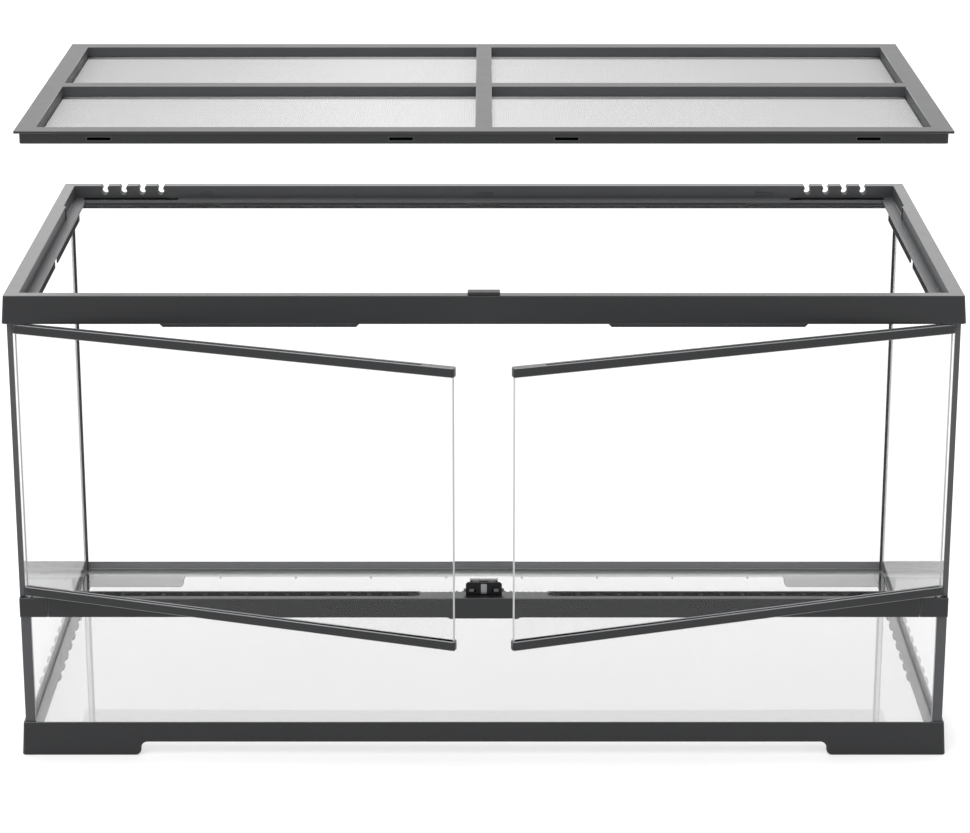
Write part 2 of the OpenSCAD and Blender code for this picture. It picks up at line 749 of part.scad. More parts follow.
module latch_thumb() placed() color("#77797b") {
    top = bar_top + latch_h;
    pitch = pad_w / grip_count;
    difference() {
        union() {
            block([-pad_w / 2, latch_y1 + gap, top - thumb_t], [pad_w / 2, bar_y1, top]);
            block([-stem_w / 2, latch_y1 + 1 + gap, top - thumb_t - 4], [stem_w / 2, bar_y1 - 1, top - 1]);
        }
        for (i = [1:grip_count - 1])
            translate([-pad_w / 2 + i * pitch - pitch / 4, latch_y1, top - 0.6]) cube([pitch / 2, bar_d, 1]);
    }
}

// A spring catch. Its front corner is bevelled, so that a closing door pushes it in.
module latch_catch(side) placed() color(dark) {
    tip = latch_w / 2 + catch_out;
    bevel = catch_out * 0.7;
    translate([0, catch_y0, catch_z]) linear_extrude(catch_h) polygon([
        [side * (tip - catch_len), 0], [side * (tip - bevel), 0], [side * tip, bevel],
        [side * tip, catch_t], [side * (tip - catch_len), catch_t]
    ]);
}

// Sets a closed left door, drawn from its hinge axis along +X, in its place on either side.
module door(side) placed() {
    translate([side * hinge_x, hinge_y, 0]) rotate([0, 0, side * door_ajar])
        mirror([side > 0 ? 1 : 0, 0, 0]) children();
}

module door_glass(side) door(side) color(glass_tint) {
    block([-1.5, -door_glass_t / 2, rail_low + rail_h - groove_h],
        [door_len - rail_end - groove_gap, door_glass_t / 2, rail_high + groove_h]);
}

// The plan of a rail: round about the hinge pin, and softened at its free end
module rail_plan() {
    r = rail_t / 2;
    circle(r);
    translate([0, -r]) square([door_len / 2, rail_t]);
    round_rect([door_len / 2 - r, -r], [door_len, r], 2);
}

// What a pane's edge takes out of a rail
module rail_groove(z0, z1) {
    half_t = door_glass_t / 2 + groove_gap;
    block([-1.5 - groove_gap, -half_t, z0], [door_len - rail_end, half_t, z1]);
}

module door_bottom_rail(side) door(side) color(black) {
    difference() {
        translate([0, 0, rail_low]) linear_extrude(rail_h) rail_plan();
        rail_groove(rail_low + rail_h - groove_h, rail_low + rail_h + 1);
        translate([0, 0, rail_low - 1]) cylinder(d = pin_hole_d, h = pin_rail + 1.1);
    }
}

module door_top_rail(side) door(side) color(black) {
    top = rail_high + rail_h;
    difference() {
        union() {
            translate([0, 0, rail_high]) linear_extrude(rail_h) rail_plan();
            block([rail_t, -strip_w / 2, top - 1], [door_len - strip_bare, strip_w / 2, top + strip_h]);
        }
        rail_groove(rail_high - 1, rail_high + groove_h);
        translate([0, 0, top - pin_rail - 0.1]) cylinder(d = pin_hole_d, h = pin_rail + 1);
    }
}

module door_pins(side) door(side) color(steel) {
    top = rail_high + rail_h;
    translate([0, 0, bar_top - pin_in]) cylinder(d = pin_d, h = pin_in + door_under + pin_rail);
    translate([0, 0, bar_top + gap]) cylinder(d = collar_d, h = door_under - gap);
    translate([0, 0, top - pin_rail]) cylinder(d = pin_d, h = pin_rail + door_over + pin_in);
}

// The hook on the back of a bottom rail that a catch holds
module door_keeper(side) door(side) color(dark) {
    back = rail_t / 2;
    arm = hinge_x - hook_x;
    depth = hook_y0 - door_back;
    plate_t = 1.1;
    translate([0, 0, catch_z - gap]) linear_extrude(catch_h + gap) polygon([
        [arm - keeper_plate, back], [arm, back], [arm, back + depth],
        [arm + hook_x - latch_w / 2 - 2 * gap, back + depth],
        [arm + hook_x - latch_w / 2 - 2 * gap, back + depth + hook_d],
        [arm - 1.8, back + depth + hook_d], [arm - 1.8, back + plate_t], [arm - keeper_plate, back + plate_t]
    ]);
}

// The lid's cross bars between its mesh openings
module lid_bars(z0, z1) {
    block([-lid_bar_y / 2, -window_y, z0], [lid_bar_y / 2, window_y, z1]);
    block([-window_x, -lid_bar_x / 2, z0], [window_x, lid_bar_x / 2, z1]);
}

module lid_frame() placed() color(black) {
    top = lid_z + lid_h;
    slot_z = mesh_z + mesh_t + 0.3;
    mesh_top = mesh_z + mesh_t;
    difference() {
        union() {
            ring([lid_x, lid_y], [window_x, window_y], top - flange_t, top);
            swept([lid_skirt_x, lid_skirt_y]) translate([0, lid_z]) square([lid_wall, lid_h - 1]);
            ring([window_x + pane_wall, window_y + pane_wall], [window_x, window_y], mesh_top, top);
            lid_bars(mesh_top, top);
        }
        for (x = [-lid_slot_outer, -lid_slot_inner, lid_slot_inner, lid_slot_outer])
            translate([x - lid_slot_w / 2, -lid_y, slot_z]) cube([lid_slot_w, flange_over + lid_wall + 1, lid_slot_h]);
    }
}

module lid_clamp() placed() color(black) {
    ring([lid_skirt_x, lid_skirt_y], [window_x, window_y], lid_z, mesh_z);
    lid_bars(lid_z, mesh_z);
}

// The mesh, woven as a plain grid of strands in each opening of the lid
module lid_mesh() placed() color(steel) {
    x = window_x + pane_wall + mesh_grip;
    y = window_y + pane_wall + mesh_grip;
    pitch_x = (window_x - lid_bar_y / 2 + mesh_strand) / (mesh_cells_x / 2);
    pitch_y = (window_y - lid_bar_x / 2 + mesh_strand) / (mesh_cells_y / 2);
    difference() {
        block([-x, -y, mesh_z], [x, y, mesh_z + mesh_t]);
        both_sides() for (side = [-1, 1], i = [0:mesh_cells_x / 2 - 1], j = [0:mesh_cells_y / 2 - 1]) {
            y0 = lid_bar_x / 2 + j * pitch_y;
            y1 = y0 + pitch_y - mesh_strand;
            translate([lid_bar_y / 2 + i * pitch_x, side > 0 ? y0 : -y1, mesh_z - 1])
                cube([pitch_x - mesh_strand, y1 - y0, mesh_t + 2]);
        }
    }
}

base_frame();
floor_glass();
back_glass();
side_glass(-1);  // left_glass
side_glass(1);  // right_glass
front_glass();
corner_seal(-1);  // corner_seal_left
corner_seal(1);  // corner_seal_right
lower_post(-1);  // lower_post_left
lower_post(1);  // lower_post_right
upper_post(-1);  // upper_post_left
upper_post(1);  // upper_post_right
vent_bar();
vent_cap(-1);  // vent_cap_left
vent_cap(1);  // vent_cap_right
vent_grille(-1);  // vent_grille_left
vent_grille(1);  // vent_grille_right
top_frame();
inlet_shutter(-1);  // inlet_shutter_left
inlet_shutter(1);  // inlet_shutter_right
latch_base();
latch_spring();
latch_thumb();
latch_catch(-1);  // latch_catch_left
latch_catch(1);  // latch_catch_right
door_glass(-1);  // door_glass_left
door_glass(1);  // door_glass_right
door_top_rail(-1);  // door_top_rail_left
door_top_rail(1);  // door_top_rail_right
door_bottom_rail(-1);  // door_bottom_rail_left
door_bottom_rail(1);  // door_bottom_rail_right
door_pins(-1);  // door_pins_left
door_pins(1);  // door_pins_right
door_keeper(-1);  // door_keeper_left
door_keeper(1);  // door_keeper_right
lid_frame();
lid_clamp();
lid_mesh();
lid_lock();
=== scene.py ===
"""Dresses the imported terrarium: moulded frames, glass, woven mesh and steel, in a white studio."""

import math

import bmesh
import bpy
from mathutils import Matrix, Vector


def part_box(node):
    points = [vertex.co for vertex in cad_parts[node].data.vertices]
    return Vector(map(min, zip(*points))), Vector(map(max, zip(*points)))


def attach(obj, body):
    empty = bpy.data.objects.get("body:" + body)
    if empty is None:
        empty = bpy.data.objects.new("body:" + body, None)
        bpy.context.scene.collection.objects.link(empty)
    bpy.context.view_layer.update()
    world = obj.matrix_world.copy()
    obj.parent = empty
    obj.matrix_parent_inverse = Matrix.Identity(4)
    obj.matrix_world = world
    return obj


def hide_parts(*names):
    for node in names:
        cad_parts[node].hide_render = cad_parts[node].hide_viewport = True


bl_info = {
    "name": "Front-Opening Terrarium",
    "version": (1, 0, 0),
    "blender": (4, 5, 0),
    "location": "3D View > Sidebar > Terrarium",
    "description": "Dresses a glass terrarium: moulded frames, float glass and a woven steel lid",
    "category": "Object",
}

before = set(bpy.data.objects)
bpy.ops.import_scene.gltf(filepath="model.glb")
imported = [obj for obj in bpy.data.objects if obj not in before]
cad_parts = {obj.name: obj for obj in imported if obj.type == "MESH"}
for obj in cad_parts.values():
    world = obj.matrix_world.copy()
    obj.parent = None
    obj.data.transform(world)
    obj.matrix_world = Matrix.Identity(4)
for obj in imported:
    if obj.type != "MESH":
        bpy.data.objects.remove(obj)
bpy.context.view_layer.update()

# The finishes that the operators share, by name
FINISHES = {}

# What each moulded node is made of:
# (CAD node, body, finish, edge finish, record's slot, edge radius in mm)
MOULDINGS = [
    ("base_frame", "tank", "black_abs", "black_edge_highlight", "black_plastic", 0.7),
    ("top_frame", "tank", "black_abs", "black_edge_highlight", "black_plastic", 0.5),
    ("vent_bar", "tank", "black_abs", "black_edge_highlight", "black_plastic", 0.6),
    ("vent_cap_left", "tank", "black_abs", "black_edge_highlight", "black_plastic", 0.6),
    ("vent_cap_right", "tank", "black_abs", "black_edge_highlight", "black_plastic", 0.6),
    ("vent_grille_left", "tank", "vent_shade_abs", "vent_shade_abs", "dark_plastic", 0.15),
    ("vent_grille_right", "tank", "vent_shade_abs", "vent_shade_abs", "dark_plastic", 0.15),
    ("lower_post_left", "tank", "strip_abs", "strip_abs", "black_plastic", 0.3),
    ("lower_post_right", "tank", "strip_abs", "strip_abs", "black_plastic", 0.3),
    ("upper_post_left", "tank", "strip_abs", "strip_abs", "black_plastic", 0.3),
    ("upper_post_right", "tank", "strip_abs", "strip_abs", "black_plastic", 0.3),
    ("latch_base", "tank", "latch_abs", "latch_abs", "dark_plastic", 0.4),
    ("inlet_shutter_left", "shutter_left", "dark_abs", "dark_abs", "dark_plastic", 0.25),
    ("inlet_shutter_right", "shutter_right", "dark_abs", "dark_abs", "dark_plastic", 0.25),
    ("latch_thumb", "thumb", "grey_abs", "grey_abs", "grey_plastic", 0.2),
    ("latch_catch_left", "catch_left", "grey_abs", "grey_abs", "dark_plastic", 0.25),
    ("latch_catch_right", "catch_right", "grey_abs", "grey_abs", "dark_plastic", 0.25),
    ("door_top_rail_left", "door_left", "black_abs", "rail_edge_highlight", "black_plastic", 0.6),
    ("door_top_rail_right", "door_right", "black_abs", "rail_edge_highlight", "black_plastic", 0.6),
    ("door_bottom_rail_left", "door_left", "black_abs", "rail_edge_highlight", "black_plastic", 0.6),
    ("door_bottom_rail_right", "door_right", "black_abs", "rail_edge_highlight", "black_plastic", 0.6),
    ("door_keeper_left", "door_left", "dark_abs", "dark_abs", "dark_plastic", 0.2),
    ("door_keeper_right", "door_right", "dark_abs", "dark_abs", "dark_plastic", 0.2),
    ("lid_frame", "lid", "black_abs", "black_edge_highlight", "black_plastic", 0.6),
    ("lid_clamp", "lid", "black_abs", "black_edge_highlight", "black_plastic", 0.3),
    ("lid_lock", "lock", "dark_abs", "dark_abs", "dark_plastic", 0.5),
]

# The panes: (CAD node, body, finish, finish of the edges)
PANES = [
    ("floor_glass", "tank", "floor_glass", "bedded_reflection"),
    ("back_glass", "tank", "glass", "bedded_reflection"),
    ("left_glass", "tank", "glass", "ground"),
    ("right_glass", "tank", "glass", "ground"),
    ("front_glass", "tank", "glass", "ground"),
    ("door_glass_left", "door_left", "glass", "ground"),
    ("door_glass_right", "door_right", "glass", "ground"),
]

# The pieces of bare steel: (CAD node, body)
STEEL_PIECES = [
    ("door_pins_left", "door_left"),
    ("door_pins_right", "door_right"),
    ("latch_spring", "tank"),
]
# Radius on the edges of the steel pieces
STEEL_EDGE = 0.00025

# Heights of the back pane's top, which the lid's ledge lies on, of the flat rim and of the floor
LEDGE_MM = 1000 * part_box("back_glass")[1].z
RIM_MM = 1000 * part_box("top_frame")[1].z
FLOOR_MM = 1000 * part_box("floor_glass")[1].z
# How far inside a frame's outline its inner walls lie, at least
INSET_MM = 12
# How far above the back pane the ledge's top, its rear edge and the walls' feet lie
LEDGE_TOP_MM = 4
LEDGE_EDGE_MM = 2.6
WALL_FOOT_MM = 3
# How far below it the side lips lie, and how deep the flat rim reaches
LIP_DROP_MM = 1
RIM_DEPTH_MM = 0.5
# What lies further back than this belongs to the rear ledge, or to the sill
REAR_LEDGE_MM = 250
SILL_MM = 290
# Where the base frame's shelf starts behind the floor it leaves open
SHELF_BACK = 0.2816
# How much of a unit normal lies along the way a face looks, at least, and at most for a wall
FACING = 0.9
UPRIGHT = 0.5

# The raised part of the back skirt: where it starts to rise, where it is level, how far it
# rises, and how much of the frame's back and foot holds it
SKIRT_START = 0.345
SKIRT_LEVEL = 0.34
SKIRT_RISE = 0.005
SKIRT_DEPTH = 0.0045
SKIRT_FOOT = 0.0005
SKIRT_MARGIN = 1e-4

# Air between the floor pane and the high spots of its shelf
FLOOR_AIR = 0.0001
# Width of the rim that the lid frame grips the wire mesh by
MESH_RIM = 0.004

# Vertices nearer than this are one, and so are those that a cut leaves this near
DOUBLE = 1e-6
CUT_DOUBLE = 1e-5
# A cut goes through a vertex that is nearer than this
CUT_REACH = 2e-5
# Faces that meet at less than this are joined
FLAT = math.radians(0.4)
# Vertices within this height are on one level
SAME_LEVEL = 1e-5

# An edge is rounded when its faces meet at more than this, and when the edges that meet it at
# less than MEETING have this many radii of length
BEND = math.radians(28)
MEETING = math.radians(140)
ROOM = 2.3
# How many times larger than its neighbour a curve's facet may be and still shade smoothly
FACET_RATIO = 4
# Stands for the angle of an edge without two faces: more than any angle there is
NO_ANGLE = 9

# How often each pattern repeats along a metre: the flow and handling marks of moulded plastic,
# the waves of a silicone bead, the film on glass, and the lines of grinding and of brushing
FLOW_SCALE = 14.0
MARK_SCALE = 45.0
WAVE_SCALE = 160.0
FILM_SCALE = 9.0
GRIND_SCALE = 2000.0
BRUSH_SCALE = 900.0
# The values that a noise pattern mostly keeps between
NOISE_LOW, NOISE_HIGH = 0.3, 0.7
# How much smoother and rougher than its own roughness a finish gets in places
PLASTIC_SMOOTHER, PLASTIC_ROUGHER = 0.01, 0.02
STEEL_SMOOTHER, STEEL_ROUGHER = 0.06, 0.08

# The Mix node's colour sockets share their names with its other kinds, so they go by number
MIX_A, MIX_B, MIX_RESULT = 6, 7, 2

# How far the studio's paper lies below the feet, so that the two don't share a plane
PAPER_DROP = 0.0002
# How brightly it glows, and how it looks through glass
PAPER_GLOW = 0.45
EVEN_GLOW = 1.2
EVEN_SHARE = 0.85
# The white world: the light that it gives, and what is seen of it
WORLD_LIGHT = 0.6
WORLD_SEEN = 1.0
# The lamps: (name, power, angle across in degrees, turn in degrees)
SOFTBOXES = [
    ("key_softbox", 0.9, 40, (32, -10, -25)),
    ("back_softbox", 1.0, 60, (-46, 0, 5)),
]

# The camera stands in front and looks down at the tank
CAMERA_PLACE = (0.0011, -2.93055, 1.2369)
CAMERA_PITCH = 0.3097
SENSOR_MM = 36.0
# Its focal length, in pixels of a render this wide
FOCAL_PX = 3064.4
RENDER_PX = 970


def inner_wall(node, above=-math.inf, below=math.inf):
    """A test for upright faces inside a node's outline and between two heights, all in mm."""
    low, high = (1000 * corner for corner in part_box(node))

    def test(at, to):
        inside = all(low[i] + INSET_MM < at[i] < high[i] - INSET_MM for i in (0, 1))
        return inside and above < at.z < below and abs(to.z) < UPRIGHT

    return test


def upper_face(at, to):
    """Whether a face looks up."""
    return to.z > FACING


def rim_top(at, to):
    """Whether a face is part of the top frame's flat rim."""
    return upper_face(at, to) and at.z > RIM_MM - RIM_DEPTH_MM


def ledge_top(at, to):
    """Whether a face is part of the top of the lid's ledge."""
    return upper_face(at, to) and LEDGE_MM < at.z < LEDGE_MM + LEDGE_TOP_MM


def ledge_edge(at, to):
    """Whether a face is the front edge of the ledge's rear part."""
    return to.y < -FACING and at.y > REAR_LEDGE_MM and LEDGE_MM < at.z < LEDGE_MM + LEDGE_EDGE_MM


def side_lip(at, to):
    """Whether a face belongs to the lips that hang from the ledge at both sides."""
    return abs(to.x) > FACING and under_ledge(at, to)


def rear_shelf(at, to):
    """Whether a face of the base frame carries the floor pane at the rear or rises behind it."""
    looks = upper_face(at, to) or to.y < -FACING
    return looks and at.z < FLOOR_MM and at.y > 1000 * SHELF_BACK


def rear_sill(at, to):
    """Whether a face is the base frame's wall behind the tank's floor."""
    return to.y < -FACING and at.z > FLOOR_MM and at.y > SILL_MM


under_ledge = inner_wall("top_frame", below=LEDGE_MM - LIP_DROP_MM)

# The faces of a moulding that have a finish of their own; all but the rim's carry painted light or
# painted shade
FACE_FINISHES = {
    "top_frame": (
        ("inner_lit_abs", inner_wall("top_frame", above=LEDGE_MM + WALL_FOOT_MM)),
        ("ledge_lit_abs", ledge_top),
        ("ledge_lit_abs", ledge_edge),
        ("rim_abs", rim_top),
        ("lip_shade_abs", side_lip),
    ),
    "base_frame": (("shelf_lit_abs", rear_shelf), ("sill_lit_abs", rear_sill)),
    "lid_frame": (("inner_lit_abs", inner_wall("lid_frame")),),
    "door_top_rail_left": (("rail_top_lit", upper_face),),
    "door_top_rail_right": (("rail_top_lit", upper_face),),
    "door_bottom_rail_left": (("rail_top_lit", upper_face),),
    "door_bottom_rail_right": (("rail_top_lit", upper_face),),
}


def linear(hex_colour):
    """An sRGB hex colour as linear RGBA."""
    parts = [int(hex_colour[i : i + 2], 16) / 255 for i in (1, 3, 5)]
    return [p / 12.92 if p <= 0.04045 else ((p + 0.055) / 1.055) ** 2.4 for p in parts] + [1.0]


class TerrariumSettings(bpy.types.PropertyGroup):
    """Sizes and colours that a user would change."""

    plastic_colour: bpy.props.FloatVectorProperty(
        name="Frame colour",
        description="Colour of the moulded frames, rails and bars",
        subtype="COLOR",
        size=4,
        default=linear("#1f2022"),
    )
    glass_tint: bpy.props.FloatVectorProperty(
        name="Glass tint",
        description="Tint that the clear panes give to what is seen through them",
        subtype="COLOR",
        size=4,
        default=linear("#fbfbfb"),
    )
    pane_arris: bpy.props.FloatProperty(
        name="Ground arris",
        description="Width of the ground edge on every pane",
        default=0.0006,
        unit="LENGTH",
        precision=5,
    )
    wire_pitch: bpy.props.FloatProperty(
        name="Mesh pitch",
        description="Distance from one wire of the lid mesh to the next",
        default=0.0017,
        unit="LENGTH",
        precision=5,
    )
    wire_diameter: bpy.props.FloatProperty(
        name="Wire diameter",
        description="Diameter of the wire in the lid mesh",
        default=0.00024,
        unit="LENGTH",
        precision=5,
    )
    floor_size: bpy.props.FloatProperty(
        name="Floor size",
        description="Side of the studio floor",
        default=60.0,
        unit="LENGTH",
    )


def add_node(tree, kind, inputs=None, links=None, **settings):
    """Adds a node with its settings, socket values and links, each link as (node, output)."""
    made = tree.nodes.new(kind)
    for name, value in settings.items():
        setattr(made, name, value)
    for name, value in (inputs or {}).items():
        made.inputs[name].default_value = value
    for name, (source, output) in (links or {}).items():
        tree.links.new(source.outputs[output], made.inputs[name])
    return made


def new_material(name):
    """An empty material, its node tree and its output node."""
    material = bpy.data.materials.new(name)
    material.use_nodes = True
    tree = material.node_tree
    tree.nodes.clear()
    return material, tree, add_node(tree, "ShaderNodeOutputMaterial")


def moulded_plastic(name, colour, lighter, roughness, grain_mm, gleam=0.5, polish=0.0):
    """Injection-moulded ABS: a spark-eroded grain, faint flow marks and soft handling marks."""
    material, tree, output = new_material(name)
    place = add_node(tree, "ShaderNodeTexCoord")
    # Flow marks some 70 mm apart
    flow = add_node(
        tree,
        "ShaderNodeTexNoise",
        {"Scale": FLOW_SCALE, "Detail": 3.0, "Roughness": 0.55},
        {"Vector": (place, "Object")},
    )
    tone = add_node(
        tree,
        "ShaderNodeMix",
        {MIX_A: colour, MIX_B: lighter},
        {"Factor": (flow, "Fac")},
        data_type="RGBA",
    )
    # Handling marks as large as a fingertip
    marks = add_node(
        tree,
        "ShaderNodeTexNoise",
        {"Scale": MARK_SCALE, "Detail": 4.0, "Roughness": 0.6},
        {"Vector": (place, "Object")},
    )
    gloss = add_node(
        tree,
        "ShaderNodeMapRange",
        {
            "From Min": NOISE_LOW,
            "From Max": NOISE_HIGH,
            "To Min": roughness - PLASTIC_SMOOTHER,
            "To Max": roughness + PLASTIC_ROUGHER,
        },
        {"Value": (marks, "Fac")},
    )
    grain = add_node(
        tree,
        "ShaderNodeTexNoise",
        {"Scale": 1000.0 / grain_mm, "Detail": 1.0},
        {"Vector": (place, "Object")},
    )
    bump = add_node(
        tree,
        "ShaderNodeBump",
        {"Strength": 0.05, "Distance": 0.00003},
        {"Height": (grain, "Fac")},
    )
    shader = add_node(
        tree,
        "ShaderNodeBsdfPrincipled",
        {
            "IOR": 1.44,
            "Specular IOR Level": gleam,
            "Coat Weight": polish,
            "Coat Roughness": 0.3,
        },
        {
            "Base Color": (tone, MIX_RESULT),
            "Roughness": (gloss, "Result"),
            "Normal": (bump, "Normal"),
        },
    )
    tree.links.new(shader.outputs["BSDF"], output.inputs["Surface"])
    return material


def silicone():
    """Cured silicone bead, tooled by hand, so it is glossy, with slight waves 6 mm apart."""
    material, tree, output = new_material("black_silicone_tooled")
    place = add_node(tree, "ShaderNodeTexCoord")
    waves = add_node(
        tree,
        "ShaderNodeTexNoise",
        {"Scale": WAVE_SCALE, "Detail": 2.0},
        {"Vector": (place, "Object")},
    )
    bump = add_node(
        tree,
        "ShaderNodeBump",
        {"Strength": 0.4, "Distance": 0.0003},
        {"Height": (waves, "Fac")},
    )
    shader = add_node(
        tree,
        "ShaderNodeBsdfPrincipled",
        {"Base Color": linear("#1c1c1d"), "Roughness": 0.3, "IOR": 1.41},
        {"Normal": (bump, "Normal")},
    )
    tree.links.new(shader.outputs["BSDF"], output.inputs["Surface"])
    return material


def float_glass(name, tint, filmed):
    """Clear float glass. Lamps and mirrored light pass straight through, a little weakened."""
    material, tree, output = new_material(name)
    place = add_node(tree, "ShaderNodeTexCoord")
    # The thin uneven film that cleaning leaves, in patches as large as a palm
    film = add_node(
        tree,
        "ShaderNodeTexNoise",
        {"Scale": FILM_SCALE, "Detail": 2.0},
        {"Vector": (place, "Object")},
    )
    tone = add_node(
        tree,
        "ShaderNodeMix",
        {MIX_A: tint, MIX_B: filmed},
        {"Factor": (film, "Fac")},
        data_type="RGBA",
    )
    # A lower IOR than glass has, and a grey mirror, keep the white studio's reflection from
    # hiding what lies behind the panes
    glass = add_node(
        tree,
        "ShaderNodeBsdfPrincipled",
        {
            "Roughness": 0.0,
            "IOR": 1.33,
            "Transmission Weight": 1.0,
            "Specular Tint": linear("#9c9c9c"),
        },
        {"Base Color": (tone, MIX_RESULT)},
    )
    clear = add_node(tree, "ShaderNodeBsdfTransparent", {"Color": linear("#f9f9f9")})
    path = add_node(tree, "ShaderNodeLightPath")
    # A refracted ray counts as glossy too, and it has to be bent back where it leaves the pane
    bounced = add_node(
        tree,
        "ShaderNodeMath",
        links={0: (path, "Is Diffuse Ray"), 1: (path, "Is Glossy Ray")},
        operation="MAXIMUM",
    )
    mirrored = add_node(
        tree,
        "ShaderNodeMath",
        links={0: (bounced, "Value"), 1: (path, "Is Transmission Ray")},
        operation="SUBTRACT",
        use_clamp=True,
    )
    passing = add_node(
        tree,
        "ShaderNodeMath",
        links={0: (path, "Is Shadow Ray"), 1: (mirrored, "Value")},
        operation="MAXIMUM",
    )
    mixed = add_node(
        tree,
        "ShaderNodeMixShader",
        links={"Fac": (passing, "Value"), 1: (glass, "BSDF"), 2: (clear, "BSDF")},
    )
    tree.links.new(mixed.outputs["Shader"], output.inputs["Surface"])
    return material


def ground_edge(name, colour, lighter):
    """The ground edge of a pane: glass sanded matt, so it scatters light and looks pale grey."""
    material, tree, output = new_material(name)
    place = add_node(tree, "ShaderNodeTexCoord")
    # Grinding lines about half a millimetre apart
    lines = add_node(
        tree,
        "ShaderNodeTexNoise",
        {"Scale": GRIND_SCALE, "Detail": 1.0},
        {"Vector": (place, "Object")},
    )
    tone = add_node(
        tree,
        "ShaderNodeMix",
        {MIX_A: colour, MIX_B: lighter},
        {"Factor": (lines, "Fac")},
        data_type="RGBA",
    )
    shader = add_node(
        tree,
        "ShaderNodeBsdfPrincipled",
        {"Roughness": 0.45, "IOR": 1.52},
        {"Base Color": (tone, MIX_RESULT)},
    )
    tree.links.new(shader.outputs["BSDF"], output.inputs["Surface"])
    return material


def bright_steel(name, colour, roughness, scratch):
    """Drawn or rolled stainless steel: bright, with fine lines along the draw, 1 mm apart."""
    material, tree, output = new_material(name)
    place = add_node(tree, "ShaderNodeTexCoord")
    stretch = add_node(
        tree, "ShaderNodeMapping", {"Scale": scratch}, {"Vector": (place, "Object")}
    )
    lines = add_node(
        tree,
        "ShaderNodeTexNoise",
        {"Scale": BRUSH_SCALE, "Detail": 2.0},
        {"Vector": (stretch, "Vector")},
    )
    gloss = add_node(
        tree,
        "ShaderNodeMapRange",
        {
            "From Min": NOISE_LOW,
            "From Max": NOISE_HIGH,
            "To Min": roughness - STEEL_SMOOTHER,
            "To Max": roughness + STEEL_ROUGHER,
        },
        {"Value": (lines, "Fac")},
    )
    shader = add_node(
        tree,
        "ShaderNodeBsdfPrincipled",
        {"Base Color": colour, "Metallic": 1.0},
        {"Roughness": (gloss, "Result")},
    )
    tree.links.new(shader.outputs["BSDF"], output.inputs["Surface"])
    return material


def clean_copy(node):
    """A copy of a CAD node's mesh with its doubles merged and its flat faces joined."""
    shape = bmesh.new()
    shape.from_mesh(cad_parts[node].data)
    bmesh.ops.remove_doubles(shape, verts=shape.verts, dist=DOUBLE)
    bmesh.ops.dissolve_limit(shape, angle_limit=FLAT, verts=shape.verts, edges=shape.edges)
    return shape


def cut_across(shape, at, to):
    """Cuts a shape's faces with a plane, so that its two sides can differ."""
    geometry = shape.verts[:] + shape.edges[:] + shape.faces[:]
    bmesh.ops.bisect_plane(shape, geom=geometry, dist=CUT_REACH, plane_co=at, plane_no=to)
    bmesh.ops.remove_doubles(shape, verts=shape.verts, dist=CUT_DOUBLE)


def raise_back_skirt(shape):
    """Lifts the top frame's back skirt between the cable inlets, clear of the lip's notches."""
    for side in (-1, 1):
        for distance in (SKIRT_START, SKIRT_LEVEL):
            cut_across(shape, (side * distance, 0, 0), (1, 0, 0))
    low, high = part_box("top_frame")
    lower = [
        vert
        for vert in shape.verts
        if abs(vert.co.x) < SKIRT_LEVEL + SKIRT_MARGIN
        and vert.co.y > high.y - SKIRT_DEPTH
        and vert.co.z < low.z + SKIRT_FOOT
    ]
    bmesh.ops.translate(shape, verts=lower, vec=(0, 0, SKIRT_RISE))


def finish_piece(shape, name, finishes, body, node):
    """Turns a bmesh into a piece that rides on a body, and replaces a node."""
    mesh = bpy.data.meshes.new(name)
    shape.to_mesh(mesh)
    shape.free()
    for finish in finishes:
        mesh.materials.append(FINISHES[finish])
    piece = bpy.data.objects.new(name, mesh)
    bpy.context.scene.collection.objects.link(piece)
    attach(piece, body)
    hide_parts(node)


def has_room(edge, radius):
    """Whether a radius fits along an edge without running past the short edges that meet it."""
    for vert in edge.verts:
        along = edge.other_vert(vert).co - vert.co
        for other in vert.link_edges:
            away = other.other_vert(vert).co - vert.co
            short = other.calc_length() < ROOM * radius
            if other != edge and short and along.angle(away) < MEETING:
                return False
    return True


def soften_edges(shape, radius, finish):
    """Rounds the sharp edges that have room for it, in a finish of their own, which on the frames,
    bars and rails is a painted highlight.
    """
    sharp = [
        edge for edge in shape.edges if edge.calc_face_angle(0) > BEND and has_room(edge, radius)
    ]
    made = bmesh.ops.bevel(
        shape,
        geom=sharp,
        offset=radius,
        offset_type="OFFSET",
        segments=2,
        profile=0.5,
        affect="EDGES",
        material=-1,
        clamp_overlap=False,
    )
    rounded = set(made["faces"])
    for face in shape.faces:
        face.smooth = True
        if face in rounded:
            face.material_index = finish
    for edge in shape.edges:
        kinds = {face in rounded for face in edge.link_faces}
        areas = sorted(face.calc_area() for face in edge.link_faces)
        # Curved walls shade smoothly, but a curve's last facet stays off the flat wall beside it
        curved = edge.calc_face_angle(NO_ANGLE) < BEND and areas[-1] < FACET_RATIO * areas[0]
        edge.smooth = len(kinds) == 1 and (True in kinds or curved)
    shape.normal_update()


